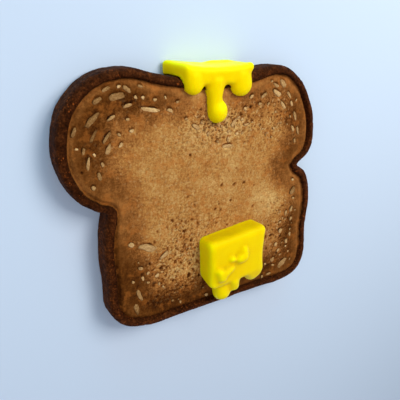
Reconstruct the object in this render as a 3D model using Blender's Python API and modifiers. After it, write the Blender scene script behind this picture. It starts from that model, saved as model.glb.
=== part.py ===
"""Buttered toast: a browned slice of seeded bread with two pieces of softened butter.

The slice lies on its back, buttered face up. X runs across the slice, +Y runs towards the
two lobes at its top, +Z points out of the buttered face. The origin is the centre of the
surface that the slice lies on. All lengths are in metres.
"""

import math

import bmesh
import bpy
from mathutils import Matrix, Vector

COLLECTION = "buttered_toast"
CENTRE = (0.00086, -0.00077, 0.0)   # point of the drawing below that becomes the origin
TOAST_COLOR = (0.30, 0.15, 0.05)
TOAST_ROUGHNESS = 0.85
BUTTER_COLOR = (0.90, 0.72, 0.02)
BUTTER_ROUGHNESS = 0.35

# --- The slice
CRUST_TOP = 0.0110          # height of the crest of the crust's rounded rim
CRUMB_TOP = 0.0102          # height of the crumb inside the rim
GROOVE_DEPTH = 0.0009       # depth of the groove between rim and crumb
FRONT_ROUNDING = 0.0026     # radius of the crust's front edge
BACK_ROUNDING = 0.0020      # radius of the crust's back edge
RIM_CREST = 0.0006          # width of the rim's crest
RIM_SLOPE = 0.0011          # width of the rim's inner slope
GROOVE_SLOPE = 0.0014       # width over which the crumb rises out of the groove
FRONT_STEPS = 3             # facets across the front edge's rounding
BACK_STEPS = 2              # facets across the back edge's rounding

# The outline, anticlockwise from the dip between the lobes
SMOOTH, TIGHT = "AUTO", "FREE"
OUTLINE = [
    (0.0020, 0.0497, SMOOTH),       # dip between the lobes
    (-0.0220, 0.0521, SMOOTH),
    (-0.0390, 0.0552, SMOOTH),      # crown of the left lobe
    (-0.0560, 0.0482, SMOOTH),
    (-0.0642, 0.0300, SMOOTH),      # widest point of the left lobe
    (-0.0595, 0.0098, SMOOTH),
    (-0.0510, 0.0020, SMOOTH),
    (-0.0466, -0.0004, TIGHT),      # left notch
    (-0.0482, -0.0110, SMOOTH),
    (-0.0476, -0.0310, SMOOTH),
    (-0.0446, -0.0500, SMOOTH),     # left bottom corner
    (-0.0330, -0.0568, SMOOTH),
    (-0.0100, -0.0576, SMOOTH),
    (0.0350, -0.0577, SMOOTH),
    (0.0550, -0.0574, SMOOTH),      # right bottom corner
    (0.0638, -0.0520, SMOOTH),
    (0.0645, -0.0270, SMOOTH),
    (0.0645, -0.0100, SMOOTH),
    (0.0602, 0.0020, SMOOTH),
    (0.0540, 0.0068, TIGHT),        # right notch
    (0.0608, 0.0122, SMOOTH),
    (0.0627, 0.0225, SMOOTH),       # widest point of the right lobe
    (0.0578, 0.0385, SMOOTH),
    (0.0490, 0.0493, SMOOTH),
    (0.0395, 0.0542, SMOOTH),       # crown of the right lobe
    (0.0215, 0.0530, SMOOTH),
]
OUTLINE_STEPS = 5           # straight pieces between two points of the outline
NOTCH_HANDLE = 0.0012       # half length of the bend in a notch
LEVEL = 0.000001            # how far from a height a point still counts as being at it
MERGE = 0.00001             # points closer than this become one

# Where the rim is wider than elsewhere: centre, reach, and how far its inner edge moves
WIDER_RIM = [
    ((0.0200, 0.0500), 0.0130, (0.0, -0.0014)),
    ((0.0640, -0.0100), 0.0400, (-0.0010, 0.0)),
]

# --- The butter, in heights above the crumb
GAP = 0.0003                # clearance between the butter and the slice
BUTTER_GRAIN = 0.0007       # mesh size of the butter before it is thinned out
BUTTER_ROUNDS = 8           # rounds of smoothing that melt its shapes together
PAT_KEEP = 0.28             # share of its faces that the pat keeps
EDGE_BUTTER_KEEP = 0.32     # share of its faces that the edge butter keeps
BLOCK_CUTS = 3              # cuts across each side of a block before it is shaped
BLOCK_STEPS = 3             # facets across a block's rounded edges
SHARP = math.radians(50)    # a block's edges that are bent more than this are rounded
BALL_SEGMENTS, BALL_RINGS = 20, 12

# Each end of a block of butter has a height, four corners anticlockwise from the low left,
# and how far its left, low, right and high side are pulled in between their corners.
PAT_FOOT = (-0.0030, [(-0.0026, -0.0398), (0.0282, -0.0420), (0.0268, -0.0160), (-0.0040, -0.0196)],
            (0.0, 0.0, 0.0006, 0.0))
PAT_FACE = (0.0093, [(-0.0024, -0.0446), (0.0300, -0.0424), (0.0298, -0.0170), (-0.0038, -0.0196)],
            (0.0004, 0.0006, 0.0014, 0.0002))
PAT_ROUNDING = 0.0026

EDGE_BACK = (-0.0097, [(-0.0178, 0.0440), (0.0190, 0.0440), (0.0184, 0.0562), (-0.0184, 0.0574)],
             (0.0, 0.0, 0.0, 0.0008))
EDGE_FACE = (0.0035, [(-0.0128, 0.0484), (0.0186, 0.0480), (0.0196, 0.0564), (-0.0130, 0.0560)],
             (-0.0004, 0.0, 0.0014, 0.0015))
EDGE_ROUNDING = 0.0015

# Lumps and drips. Each is a chain of ellipsoids: centre (x, y, height above the crumb), radii
PAT_LUMPS = {
    "hook": [((0.0134, -0.0299, 0.0095), (0.0030, 0.0027, 0.0026)),
             ((0.0150, -0.0293, 0.0095), (0.0025, 0.0030, 0.0027))],
    "hook tip": [((0.0156, -0.0291, 0.0095), (0.0018, 0.0024, 0.0025)),
                 ((0.0155, -0.0260, 0.0092), (0.0016, 0.0017, 0.0020))],
    "bead": [((0.0086, -0.0292, 0.0093), (0.0018, 0.0017, 0.0021))],
    "corner": [((0.0019, -0.0342, 0.0094), (0.0022, 0.0020, 0.0023)),
               ((0.0032, -0.0374, 0.0094), (0.0027, 0.0024, 0.0025))],
    "corner tip": [((0.0033, -0.0357, 0.0094), (0.0030, 0.0026, 0.0026)),
                   ((0.0081, -0.0343, 0.0091), (0.0021, 0.0015, 0.0019))],
    "left drip": [((0.0063, -0.0431, 0.0038), (0.0044, 0.0030, 0.0040)),
                  ((0.0072, -0.0488, 0.0040), (0.0045, 0.0043, 0.0042))],
    "middle drip": [((0.0118, -0.0422, 0.0062), (0.0034, 0.0028, 0.0036)),
                    ((0.0128, -0.0459, 0.0056), (0.0031, 0.0031, 0.0034))],
    "right drip": [((0.0216, -0.0407, 0.0052), (0.0040, 0.0026, 0.0040)),
                   ((0.0240, -0.0435, 0.0047), (0.0036, 0.0034, 0.0036)),
                   ((0.0266, -0.0417, 0.0052), (0.0030, 0.0032, 0.0036))],
}
EDGE_LUMPS = {
    "left drip": [((-0.0094, 0.0514, 0.0014), (0.0045, 0.0034, 0.0025)),
                  ((-0.0092, 0.0483, 0.0009), (0.0044, 0.0044, 0.0032))],
    "long drip": [((0.0010, 0.0492, 0.0010), (0.0050, 0.0034, 0.0030)),
                  ((0.0012, 0.0432, 0.0004), (0.0036, 0.0030, 0.0032)),
                  ((0.0015, 0.0400, 0.0002), (0.0036, 0.0030, 0.0034)),
                  ((0.0029, 0.0369, 0.0006), (0.0047, 0.0051, 0.0040))],
    "right drip": [((0.0137, 0.0514, 0.0014), (0.0052, 0.0034, 0.0025)),
                   ((0.0144, 0.0473, 0.0009), (0.0053, 0.0050, 0.0034))],
    "pulled-up corner": [((0.0180, 0.0545, 0.0014), (0.0020, 0.0022, 0.0022))],
    "hump at the back": [((0.0040, 0.0540, -0.0066), (0.0050, 0.0028, 0.0022)),
                         ((0.0130, 0.0540, -0.0066), (0.0050, 0.0028, 0.0022))],
}


def clear_scene():
    """Remove every object that the scene starts with."""
    for thing in list(bpy.data.objects):
        bpy.data.objects.remove(thing, do_unlink=True)


def new_collection(name):
    """Make a collection in the scene."""
    group = bpy.data.collections.new(name)
    bpy.context.scene.collection.children.link(group)
    return group


def new_material(name, color, roughness):
    """Make a non-metallic material."""
    material = bpy.data.materials.new(name)
    material.use_nodes = True
    shader = material.node_tree.nodes["Principled BSDF"]
    shader.inputs["Base Color"].default_value = (*color, 1.0)
    shader.inputs["Roughness"].default_value = roughness
    shader.inputs["Metallic"].default_value = 0.0
    return material


# --- The slice

def outline_curve():
    """Make the slice's outline as a filled curve, extruded over the slice's height."""
    curve = bpy.data.curves.new("outline", "CURVE")
    curve.dimensions = "2D"
    curve.fill_mode = "BOTH"
    curve.extrude = CRUST_TOP / 2
    curve.resolution_u = OUTLINE_STEPS
    spline = curve.splines.new("BEZIER")
    spline.bezier_points.add(len(OUTLINE) - 1)
    spline.use_cyclic_u = True
    for index, (x, y, kind) in enumerate(OUTLINE):
        knot = spline.bezier_points[index]
        knot.co = (x, y, 0.0)
        knot.handle_left_type = kind
        knot.handle_right_type = kind
        if kind == TIGHT:
            before = Vector(OUTLINE[index - 1][:2])
            after = Vector(OUTLINE[index + 1][:2])
            along = (after - before).normalized().to_3d() * NOTCH_HANDLE
            knot.handle_left = knot.co - along
            knot.handle_right = knot.co + along
    return curve


def outline_mesh():
    """Turn the outline curve into a mesh that stands on the resting surface."""
    guide = bpy.data.objects.new("outline", outline_curve())
    bpy.context.scene.collection.objects.link(guide)
    view = bpy.context.evaluated_depsgraph_get()
    mesh = bpy.data.meshes.new_from_object(guide.evaluated_get(view))
    mesh.transform(Matrix.Translation((0.0, 0.0, CRUST_TOP / 2)))
    bpy.data.objects.remove(guide, do_unlink=True)
    return mesh


def is_level(item, z):
    """Tell whether all of an edge's or a face's points are at height z."""
    return all(abs(vert.co.z - z) < LEVEL for vert in item.verts)


def round_edge(bm, z, radius, steps):
    """Round the outline's edge at height z."""
    sharp = [e for e in bm.edges if is_level(e, z) and any(abs(f.normal.z) < 0.5 for f in e.link_faces)]
    bmesh.ops.bevel(bm, geom=sharp, offset=radius, offset_type="OFFSET", segments=steps,
                    profile=0.5, affect="EDGES", clamp_overlap=False, material=-1)
    bm.normal_update()


def step_in(bm, face, width, z):
    """Inset a level face by width and move the new inner face to height z."""
    bmesh.ops.inset_individual(bm, faces=[face], thickness=width, use_even_offset=True)
    for vert in face.verts:
        vert.co.z = z


def widen_rim(face):
    """Move the inner edge of the rim inwards where the rim is wide."""
    for vert in face.verts:
        for centre, reach, push in WIDER_RIM:
            distance = (vert.co.xy - Vector(centre)).length
            vert.co += Vector((*push, 0.0)) * math.exp(-(distance / reach) ** 2)


def build_slice(group, material):
    """Make the slice: rounded crust, raised rim, groove and crumb in one solid."""
    mesh = outline_mesh()
    bm = bmesh.new()
    bm.from_mesh(mesh)
    bmesh.ops.remove_doubles(bm, verts=bm.verts, dist=MERGE)
    bm.normal_update()
    for z in (0.0, CRUST_TOP):
        bmesh.ops.dissolve_faces(bm, faces=[f for f in bm.faces if is_level(f, z)])
    round_edge(bm, CRUST_TOP, FRONT_ROUNDING, FRONT_STEPS)
    round_edge(bm, 0.0, BACK_ROUNDING, BACK_STEPS)
    crumb = max((f for f in bm.faces if is_level(f, CRUST_TOP)), key=lambda f: f.calc_area())
    step_in(bm, crumb, RIM_CREST, CRUST_TOP)
    widen_rim(crumb)
    step_in(bm, crumb, RIM_SLOPE, CRUMB_TOP - GROOVE_DEPTH)
    step_in(bm, crumb, GROOVE_SLOPE, CRUMB_TOP)
    bmesh.ops.triangulate(bm, faces=bm.faces)
    bmesh.ops.recalc_face_normals(bm, faces=bm.faces)
    bm.to_mesh(mesh)
    bm.free()
    mesh.name = "toast_slice"
    mesh.materials.clear()
    mesh.materials.append(material)
    mesh.shade_smooth()
    solid = bpy.data.objects.new("toast_slice", mesh)
    group.objects.link(solid)
    return solid


def swollen_copy(solid, group):
    """Make a cutter: a copy of a solid that is larger by the butter's clearance."""
    mesh = solid.data.copy()
    bm = bmesh.new()
    bm.from_mesh(mesh)
    bm.normal_update()
    for vert in bm.verts:
        vert.co += vert.normal * GAP * vert.calc_shell_factor()
    bm.to_mesh(mesh)
    bm.free()
    cutter = bpy.data.objects.new("slice_cutter", mesh)
    cutter.hide_render = True
    cutter.display_type = "WIRE"
    group.objects.link(cutter)
    return cutter


# --- The butter

def block_point(end, across, along):
    """Place a point on one end of a block; across and along run from -1 to 1."""
    height, corners, (left, low, right, high) = end
    low_left, low_right, high_right, high_left = (Vector(corner) for corner in corners)
    share_x = (across + 1) / 2
    share_y = (along + 1) / 2
    point = low_left.lerp(low_right, share_x).lerp(high_left.lerp(high_right, share_x), share_y)
    point.x += (1 - along ** 2) * (left * (1 - share_x) - right * share_x)
    point.y += (1 - across ** 2) * (low * (1 - share_y) - high * share_y)
    return Vector((*point, CRUMB_TOP + height))


def add_block(bm, foot, face, rounding):
    """Add a block of butter between its two ends, with rounded edges."""
    cube = bmesh.ops.create_cube(bm, size=2.0)["verts"]
    edges = list({e for v in cube for e in v.link_edges})
    bmesh.ops.subdivide_edges(bm, edges=edges, cuts=BLOCK_CUTS, use_grid_fill=True)
    block = [v for v in bm.verts if max(map(abs, v.co)) > 0.999]
    for vert in block:
        across, along, up = vert.co
        vert.co = block_point(foot, across, along).lerp(block_point(face, across, along), (up + 1) / 2)
    bm.normal_update()
    sharp = [e for e in bm.edges if e.calc_face_angle(0.0) > SHARP]
    bmesh.ops.bevel(bm, geom=sharp, offset=rounding, offset_type="OFFSET", segments=BLOCK_STEPS,
                    profile=0.5, affect="EDGES", clamp_overlap=True, material=-1)


def add_ball(bm, centre, radii):
    """Add an ellipsoid; its centre's height is above the crumb."""
    place = Matrix.Translation((centre[0], centre[1], CRUMB_TOP + centre[2]))
    stretch = Matrix.Diagonal((*radii, 1.0))
    return bmesh.ops.create_uvsphere(bm, u_segments=BALL_SEGMENTS, v_segments=BALL_RINGS,
                                     radius=1.0, matrix=place @ stretch)["verts"]


def add_lump(bm, chain):
    """Add a lump or drip: hulls around each two neighbours in a chain of ellipsoids."""
    if len(chain) == 1:
        add_ball(bm, *chain[0])
    for start, end in zip(chain, chain[1:]):
        verts = add_ball(bm, *start) + add_ball(bm, *end)
        skins = {f for v in verts for f in v.link_faces} | {e for v in verts for e in v.link_edges}
        bmesh.ops.delete(bm, geom=list(skins), context="EDGES_FACES")
        hull = bmesh.ops.convex_hull(bm, input=verts)
        spare = {v for v in hull["geom_interior"] if isinstance(v, bmesh.types.BMVert)}
        bmesh.ops.delete(bm, geom=list(spare), context="VERTS")


def melt(name, bm, keep, cutter, group, material):
    """Melt a butter's shapes into one solid and cut the slice out of it."""
    mesh = bpy.data.meshes.new(name)
    bm.to_mesh(mesh)
    bm.free()
    mesh.materials.append(material)
    solid = bpy.data.objects.new(name, mesh)
    group.objects.link(solid)
    remesh = solid.modifiers.new("melt", "REMESH")
    remesh.mode = "VOXEL"
    remesh.voxel_size = BUTTER_GRAIN
    remesh.use_smooth_shade = True
    smooth = solid.modifiers.new("soften", "SMOOTH")
    smooth.factor = 0.5
    smooth.iterations = BUTTER_ROUNDS
    cut = solid.modifiers.new("rest_on_slice", "BOOLEAN")
    cut.operation = "DIFFERENCE"
    cut.solver = "EXACT"
    cut.object = cutter
    thin = solid.modifiers.new("thin_out", "DECIMATE")
    thin.ratio = keep
    return solid


def build_butter(name, ends, rounding, lumps, keep, cutter, group, material):
    """Make a piece of butter: a rounded block with lumps and drips on it."""
    bm = bmesh.new()
    add_block(bm, *ends, rounding)
    for chain in lumps.values():
        add_lump(bm, chain)
    return melt(name, bm, keep, cutter, group, material)


def main():
    """Build the whole object."""
    clear_scene()
    parts = new_collection(COLLECTION)
    cutters = new_collection("cutters")
    toasted = new_material("toasted_bread", TOAST_COLOR, TOAST_ROUGHNESS)
    butter = new_material("butter", BUTTER_COLOR, BUTTER_ROUGHNESS)
    toast = build_slice(parts, toasted)
    cutter = swollen_copy(toast, cutters)
    pat = build_butter("butter_pat", (PAT_FOOT, PAT_FACE), PAT_ROUNDING, PAT_LUMPS, PAT_KEEP,
                       cutter, parts, butter)
    edge_butter = build_butter("butter_on_edge", (EDGE_BACK, EDGE_FACE), EDGE_ROUNDING, EDGE_LUMPS,
                               EDGE_BUTTER_KEEP, cutter, parts, butter)
    for solid in (toast, cutter, pat, edge_butter):
        solid.location = -Vector(CENTRE)


main()
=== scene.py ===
"""Looks of the buttered toast: browned crust, mottled crumb, oat flakes and two pieces of butter.

The slice lies on its back. X runs across it, +Y towards its two lobes, +Z out of the buttered face.
Lengths are in metres, and the tables of spots and flakes are in millimetres.
"""

import logging
import math
from dataclasses import dataclass
from enum import Enum

import bmesh
import bpy
import numpy as np
from bpy.types import Material, Mesh, Node, NodeSocket, NodeTree, Object
from mathutils import Matrix, Vector, noise
from mathutils.bvhtree import BVHTree
from mathutils.kdtree import KDTree


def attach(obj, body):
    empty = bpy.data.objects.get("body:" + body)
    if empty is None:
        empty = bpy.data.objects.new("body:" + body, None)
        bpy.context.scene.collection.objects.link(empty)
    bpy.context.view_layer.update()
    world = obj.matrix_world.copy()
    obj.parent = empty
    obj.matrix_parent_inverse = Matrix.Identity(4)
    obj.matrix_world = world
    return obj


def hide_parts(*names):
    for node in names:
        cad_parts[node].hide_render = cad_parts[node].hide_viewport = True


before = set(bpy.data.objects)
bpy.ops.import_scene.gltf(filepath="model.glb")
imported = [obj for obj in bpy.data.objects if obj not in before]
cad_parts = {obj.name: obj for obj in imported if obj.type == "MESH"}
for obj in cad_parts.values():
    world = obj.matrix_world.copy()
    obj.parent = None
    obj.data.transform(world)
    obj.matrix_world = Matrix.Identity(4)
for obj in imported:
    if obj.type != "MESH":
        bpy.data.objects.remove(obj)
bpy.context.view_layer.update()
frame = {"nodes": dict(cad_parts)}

MM = 0.001
MERGE = 0.00001
FLAT = (1, 1, 0)
Numbers = np.ndarray
Color = tuple[float, float, float, float]
Place = tuple[float, float, float]
Tones = tuple[tuple[float, str], ...]
Skin = bmesh.types.BMesh
Value = float | NodeSocket

log = logging.getLogger("buttered_toast")


# --- Shapes and fields that the pieces share

def merged_copy(node: Object) -> Skin:
    """Copies a CAD solid and joins its loose triangles.

    Args:
        node: the CAD solid, which stays as it is.

    Returns:
        The closed copy.
    """
    bm = bmesh.new()
    bm.from_mesh(node.data)
    bmesh.ops.remove_doubles(bm, verts=bm.verts, dist=MERGE)
    bmesh.ops.recalc_face_normals(bm, faces=bm.faces)
    return bm


def new_piece(name: str, bm: Skin) -> Object:
    """Puts a shape in the scene as a piece at the origin.

    Args:
        name: the piece's name.
        bm: its shape, which is used up.

    Returns:
        The new object.
    """
    mesh = bpy.data.meshes.new(name)
    bm.to_mesh(mesh)
    bm.free()
    piece = bpy.data.objects.new(name, mesh)
    bpy.context.scene.collection.objects.link(piece)
    return piece


def dress(piece: Object, finish: Material) -> None:
    """Gives a smooth piece its one material.

    Args:
        piece: the piece.
        finish: the material.
    """
    piece.data.materials.clear()
    piece.data.materials.append(finish)
    piece.data.shade_smooth()


def finish_modifiers(piece: Object) -> None:
    """Replaces a piece's mesh by what its modifiers make of it.

    Args:
        piece: the object whose modifiers are used up.
    """
    view = bpy.context.evaluated_depsgraph_get()
    made = bpy.data.meshes.new_from_object(piece.evaluated_get(view))
    made.name = piece.name
    piece.modifiers.clear()
    piece.data = made


def remesh(piece: Object, grain: float, rounds: int) -> None:
    """Gives a piece an even skin of small faces.

    Args:
        piece: the object to remesh.
        grain: the size of the new faces.
        rounds: rounds of smoothing after it.
    """
    skin = piece.modifiers.new("skin", "REMESH")
    skin.mode = "VOXEL"
    skin.voxel_size = grain
    if rounds:
        soften = piece.modifiers.new("soften", "SMOOTH")
        soften.factor = 0.5
        soften.iterations = rounds
    finish_modifiers(piece)


def rows_of(mesh: Mesh, kind: str) -> Numbers:
    """Reads a vector at each of a mesh's points.

    Args:
        mesh: the mesh to read.
        kind: what to read: "co" for places or "normal" for directions.

    Returns:
        A row for each point.
    """
    rows = np.empty(len(mesh.vertices) * 3, np.float32)
    mesh.vertices.foreach_get(kind, rows)
    return rows.reshape(-1, 3).astype(float)


def move_points(mesh: Mesh, points: Numbers) -> None:
    """Puts a mesh's points at new places.

    Args:
        mesh: the mesh to change.
        points: a row for each point.
    """
    mesh.vertices.foreach_set("co", points.astype(np.float32).ravel())
    mesh.update()


def store(mesh: Mesh, name: str, values: Numbers) -> None:
    """Keeps a value for each point where materials can read it.

    Args:
        mesh: the mesh to write on.
        name: the attribute's name.
        values: a number for each point.
    """
    layer = mesh.attributes.new(name, "FLOAT", "POINT")
    layer.data.foreach_set("value", values.astype(np.float32))


def ripple(points: Numbers, size: float, octaves: int, seed: float) -> Numbers:
    """Gives each point a smooth random value.

    Args:
        points: a row for each point.
        size: how far apart the ripples are.
        octaves: how many finer layers are added.
        seed: picks another pattern.

    Returns:
        Values between about -1 and 1.
    """
    scaled = points * (1.0 / size) + seed * np.array((7.3, 3.1, 5.7))
    return np.array([noise.fractal(Vector(place), 1.0, 2.0, octaves) for place in scaled])


def smooth_step(values: Numbers, low: float, high: float) -> Numbers:
    """Rises smoothly from 0 at low to 1 at high.

    Args:
        values: numbers of any size.
        low: where the result is 0.
        high: where the result is 1.

    Returns:
        Numbers from 0 to 1.
    """
    share = np.clip((values - low) / (high - low), 0.0, 1.0)
    return share * share * (3 - 2 * share)


def flat_tree(places: Numbers | list) -> KDTree:
    """Makes a finder of the nearest place as seen from above.

    Args:
        places: a row for each place.

    Returns:
        The finder.
    """
    tree = KDTree(len(places))
    for index, place in enumerate(places):
        tree.insert((place[0], place[1], 0.0), index)
    tree.balance()
    return tree


def relief(mesh: Mesh, rounds: int) -> Numbers:
    """Measures how far each point stands out of its surroundings.

    Args:
        mesh: the mesh to measure.
        rounds: rounds of averaging, which set how wide the surroundings are.

    Returns:
        The height of each point: above 0 on ridges and below 0 in hollows.
    """
    ends = np.empty(len(mesh.edges) * 2, np.int32)
    mesh.edges.foreach_get("vertices", ends)
    first, second = ends[0::2], ends[1::2]
    points = rows_of(mesh, "co")
    near = np.bincount(ends, minlength=len(points))[:, None]
    even = points
    for _ in range(rounds):
        total = np.column_stack([
            np.bincount(first, even[second, axis], len(points))
            + np.bincount(second, even[first, axis], len(points)) for axis in range(3)])
        even = (even + total / near) / 2
    return ((points - even) * rows_of(mesh, "normal")).sum(axis=1)


# --- Nodes

BENDS_PER_CELL = 1.6
RAGGEDNESS = 0.9


def paint(code: str) -> Color:
    """Turns a colour code into a linear colour.

    Args:
        code: the colour as "#rrggbb".

    Returns:
        Its red, green, blue and opacity.
    """
    shares = [int(code[start:start + 2], 16) / 255 for start in (1, 3, 5)]
    linear = [share / 12.92 if share <= 0.04045 else ((share + 0.055) / 1.055) ** 2.4 for share in shares]
    return (*linear, 1.0)


class Bench:
    """A node tree that is being laid out."""

    def __init__(self, tree: NodeTree) -> None:
        """Takes a tree and empties it."""
        self.tree = tree
        tree.nodes.clear()

    def feed(self, node: Node, inputs: dict[int | str, float | tuple | NodeSocket]) -> None:
        """Sets or links a node's inputs.

        Args:
            node: the node.
            inputs: a value or an output socket for each input, by name or number.
        """
        for name, value in inputs.items():
            if isinstance(value, NodeSocket):
                self.tree.links.new(value, node.inputs[name])
            else:
                node.inputs[name].default_value = value

    def add(self, kind: str, inputs: dict | None = None, **settings: str | NodeTree) -> Node:
        """Adds a node.

        Args:
            kind: the node's type without its ShaderNode prefix.
            inputs: a value or an output socket for each input, by name or number.
            settings: the node's own properties.

        Returns:
            The new node.
        """
        node = self.tree.nodes.new("ShaderNode" + kind)
        for name, value in settings.items():
            setattr(node, name, value)
        self.feed(node, inputs or {})
        return node

    def math(self, operation: str, first: Value, second: Value = 0.0, third: Value = 0.0) -> NodeSocket:
        """Combines numbers, each a value or a socket.

        Args:
            operation: the name of the sum.
            first: the first number.
            second: the second number.
            third: the third number, where the sum has one.

        Returns:
            The result's socket.
        """
        return self.add("Math", {0: first, 1: second, 2: third}, operation=operation).outputs[0]

    def sway(self, tone: Value, pattern: NodeSocket, weight: Value) -> NodeSocket:
        """Moves a value up and down by a pattern that runs from 0 to 1.

        Args:
            tone: the value.
            pattern: the pattern's socket.
            weight: how far the value moves.

        Returns:
            The result's socket.
        """
        return self.math("MULTIPLY_ADD", self.math("SUBTRACT", pattern, 0.5), weight, tone)

    def vector(self, operation: str, first: NodeSocket, second: Place | NodeSocket) -> NodeSocket:
        """Combines two vectors.

        Args:
            operation: the name of the sum.
            first: the first vector.
            second: the second vector, a value or a socket.

        Returns:
            The result's socket.
        """
        return self.add("VectorMath", {0: first, 1: second}, operation=operation).outputs[0]

    def blend(self, below: NodeSocket, above: str | NodeSocket, share: NodeSocket) -> NodeSocket:
        """Lays one colour over another.

        Args:
            below: the lower colour's socket.
            above: the upper colour, a code or a socket.
            share: how much of the upper colour shows.

        Returns:
            The blended colour's socket.
        """
        upper = paint(above) if isinstance(above, str) else above
        return self.add("Mix", {0: share, 6: below, 7: upper}, data_type="RGBA").outputs[2]

    def rise(self, value: NodeSocket, low: float, high: float,
             bottom: float = 0.0, top: float = 1.0) -> NodeSocket:
        """Turns a value into a soft step.

        Args:
            value: the socket to read.
            low: where the step starts.
            high: where the step ends.
            bottom: the result below the step.
            top: the result above it.

        Returns:
            The step's socket.
        """
        limits = {"Value": value, "From Min": low, "From Max": high, "To Min": bottom, "To Max": top}
        return self.add("MapRange", limits, interpolation_type="SMOOTHSTEP").outputs[0]

    def scale_of(self, value: NodeSocket, stops: Tones) -> NodeSocket:
        """Turns a value into a colour.

        Args:
            value: the socket to read.
            stops: the colour code at each value.

        Returns:
            The colour's socket.
        """
        node = self.add("ValToRGB", {0: value})
        ramp = node.color_ramp
        while len(ramp.elements) < len(stops):
            ramp.elements.new(0.5)
        for stop, (place, code) in zip(ramp.elements, stops):
            stop.position = place
            stop.color = paint(code)
        return node.outputs[0]


def new_group(name: str, numbers: dict[str, float]) -> tuple[Bench, Node, Node]:
    """Starts a node group that reads a place and some numbers and gives one value.

    Args:
        name: the group's name.
        numbers: its number inputs and what they are at first.

    Returns:
        Its bench, its input node and its output node.
    """
    tree = bpy.data.node_groups.new(name, "ShaderNodeTree")
    tree.interface.new_socket(name="Place", in_out="INPUT", socket_type="NodeSocketVector")
    for label, value in numbers.items():
        socket = tree.interface.new_socket(name=label, in_out="INPUT", socket_type="NodeSocketFloat")
        socket.default_value = value
    tree.interface.new_socket(name="Value", in_out="OUTPUT", socket_type="NodeSocketFloat")
    bench = Bench(tree)
    return bench, tree.nodes.new("NodeGroupInput"), tree.nodes.new("NodeGroupOutput")


class Patterns:
    """The node groups that several finishes use."""

    def __init__(self) -> None:
        """Builds each group once."""
        self.mottle = self.make_mottle()
        self.specks = self.make_specks()
        self.strokes = self.make_strokes()

    @staticmethod
    def make_mottle() -> NodeTree:
        """Makes cloudy unevenness from 0 to 1.

        Returns:
            The group.
        """
        bench, entry, exit_node = new_group("mottle", {"Size": 0.003, "Detail": 3.0, "Spread": 0.2})
        scale = bench.math("DIVIDE", 1.0, entry.outputs["Size"])
        cloud = bench.add("TexNoise", {"Vector": entry.outputs["Place"], "Scale": scale,
                                       "Detail": entry.outputs["Detail"], "Roughness": 0.6})
        low = bench.math("SUBTRACT", 0.5, entry.outputs["Spread"])
        high = bench.math("ADD", 0.5, entry.outputs["Spread"])
        step = bench.add("MapRange", {"Value": cloud.outputs[0], "From Min": low, "From Max": high})
        bench.feed(exit_node, {0: step.outputs[0]})
        return bench.tree

    @staticmethod
    def make_specks() -> NodeTree:
        """Makes scattered ragged specks: 1 in a speck and 0 between them.

        Returns:
            The group.
        """
        bench, entry, exit_node = new_group("specks", {"Size": 0.001, "Share": 0.3})
        _, _, cells, luck = Patterns.spread_cells(bench, entry)
        reach = bench.math("MULTIPLY_ADD", luck[1], 0.25, 0.2)
        dot = bench.rise(bench.math("DIVIDE", cells["Distance"], reach), 0.6, 1.2, 1.0, 0.0)
        kept = bench.math("LESS_THAN", luck[0], entry.outputs["Share"])
        bench.feed(exit_node, {0: bench.math("MULTIPLY", dot, kept)})
        return bench.tree

    @staticmethod
    def make_strokes() -> NodeTree:
        """Makes scattered short strokes, each turned its own way: 1 in a stroke and 0 between them.

        Returns:
            The group.
        """
        numbers = {"Size": 0.002, "Slimness": 3.0, "Share": 0.4, "Fill": 0.4}
        bench, entry, exit_node = new_group("strokes", numbers)
        place, scale, cells, luck = Patterns.spread_cells(bench, entry)
        local = bench.vector("SUBTRACT", place, cells["Position"])
        angle = bench.math("MULTIPLY", luck[0], math.pi)
        turned = bench.add("VectorRotate", {"Vector": local, "Angle": angle}, rotation_type="Z_AXIS")
        slim_scale = bench.math("MULTIPLY", scale, entry.outputs["Slimness"])
        squeeze = bench.add("CombineXYZ", {0: scale, 1: slim_scale, 2: 0.0})
        drawn = bench.vector("MULTIPLY", turned.outputs[0], squeeze.outputs[0])
        reach = bench.add("VectorMath", {0: drawn}, operation="LENGTH").outputs["Value"]
        stroke = bench.rise(bench.math("DIVIDE", reach, entry.outputs["Fill"]), 0.6, 1.15, 1.0, 0.0)
        kept = bench.math("LESS_THAN", luck[1], entry.outputs["Share"])
        bench.feed(exit_node, {0: bench.math("MULTIPLY", stroke, kept)})
        return bench.tree

    @staticmethod
    def spread_cells(bench: Bench, entry: Node) -> tuple:
        """Spreads cells over a group's places, which are shifted a little to make the edges ragged.

        Args:
            bench: the group's bench.
            entry: its input node, with a place and a size.

        Returns:
            The sockets of the shifted place and the scale, and the outputs of the cells and their luck.
        """
        start, size = entry.outputs["Place"], entry.outputs["Size"]
        bends = bench.math("DIVIDE", BENDS_PER_CELL, size)
        bend = bench.add("TexNoise", {"Vector": start, "Scale": bends, "Detail": 2.0})
        centred = bench.vector("SUBTRACT", bend.outputs["Color"], (0.5, 0.5, 0.5))
        reach = bench.math("MULTIPLY", size, RAGGEDNESS)
        shift = bench.add("VectorMath", {0: centred, "Scale": reach}, operation="SCALE")
        place = bench.vector("ADD", start, shift.outputs[0])
        scale = bench.math("DIVIDE", 1.0, size)
        cells = bench.add("TexVoronoi", {"Vector": place, "Scale": scale, "Randomness": 1.0}).outputs
        return place, scale, cells, bench.add("SeparateColor", {0: cells["Color"]}).outputs


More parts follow.
